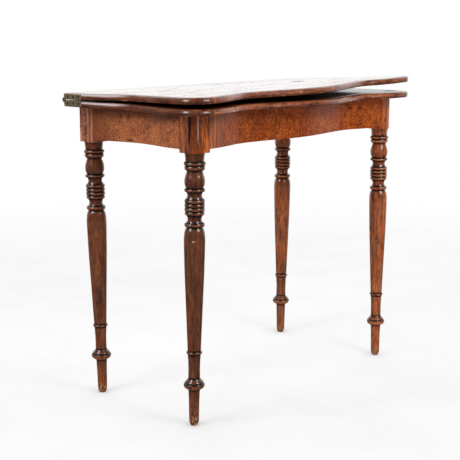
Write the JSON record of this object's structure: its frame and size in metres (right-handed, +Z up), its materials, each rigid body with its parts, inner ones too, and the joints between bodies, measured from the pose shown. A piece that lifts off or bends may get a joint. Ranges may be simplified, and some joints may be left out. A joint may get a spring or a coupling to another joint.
{
  "type": "games table",
  "caption": "Serpentine games table on turned legs; its hinged double top turns a quarter and unfolds over the frame, with a card well inside.",
  "frame": {"origin": "on the floor, under the middle of the closed top's bounding box", "axes": "+X along the table to the right as seen from the front, +Y to the back where the hinges are, +Z up"},
  "size_m": [0.8574, 0.4522, 0.7763],
  "materials": {
    "turned_mahogany": "french polished, worn",
    "burr_veneer": "polished burr veneer",
    "mahogany_veneer": "polished veneer",
    "edge_mahogany": "polished, worn arrises",
    "polished_top": "high polish",
    "playing_surface": "high polish, dark",
    "carcase_pine": "bare, aged",
    "hard_peg": "bare, waxed",
    "patinated_brass": "dark patina",
    "black_iron": "forged, dull"
  },
  "bodies": {
    "frame": {"back_left_leg": "turned_mahogany", "back_rail": "carcase_pine", "back_right_leg": "turned_mahogany", "front_burr_veneer": "burr_veneer", "front_left_leg": "turned_mahogany", "front_rail": "carcase_pine", "front_right_leg": "turned_mahogany", "front_strip_veneer": "mahogany_veneer", "left_rail": "carcase_pine", "left_side_veneer": "mahogany_veneer", "pivot_rail": "carcase_pine", "right_rail": "carcase_pine", "right_side_veneer": "mahogany_veneer", "well_bottom": "carcase_pine", "well_glue_blocks": "carcase_pine", "well_partition": "carcase_pine"},
    "lower_leaf": {"left_hinge_lower_plate": "patinated_brass", "left_hinge_pin": "patinated_brass", "lower_hinge_screws": "patinated_brass", "lower_leaf_back_lipping": "edge_mahogany", "lower_leaf_core": "carcase_pine", "lower_leaf_front_lipping": "edge_mahogany", "lower_leaf_left_end_lipping": "edge_mahogany", "lower_leaf_playing_veneer": "playing_surface", "lower_leaf_right_end_lipping": "edge_mahogany", "pivot_bolt": "black_iron", "pivot_iron": "black_iron", "pivot_iron_screws": "black_iron", "pivot_nut": "black_iron", "pivot_washer": "black_iron", "right_hinge_lower_plate": "patinated_brass", "right_hinge_pin": "patinated_brass", "turn_stop_peg": "hard_peg"},
    "upper_leaf": {"left_hinge_upper_plate": "patinated_brass", "right_hinge_upper_plate": "patinated_brass", "upper_hinge_screws": "patinated_brass", "upper_leaf_back_lipping": "edge_mahogany", "upper_leaf_core": "carcase_pine", "upper_leaf_front_lipping": "edge_mahogany", "upper_leaf_left_end_lipping": "edge_mahogany", "upper_leaf_playing_veneer": "playing_surface", "upper_leaf_right_end_lipping": "edge_mahogany", "upper_leaf_top_veneer": "polished_top"}
  },
  "joints": [
    {"name": "top_turn", "type": "hinge", "parent": "frame", "child": "lower_leaf", "pos_m": [0.09875, 0.12112, 0.7213], "axis": [0, 0, 1], "range_deg": [0, 90]},
    {"name": "leaf_fold", "type": "hinge", "parent": "lower_leaf", "child": "upper_leaf", "pos_m": [0, 0.22012, 0.7371], "axis": [-1, 0, 0], "range_deg": [0, 176]}
  ]
}
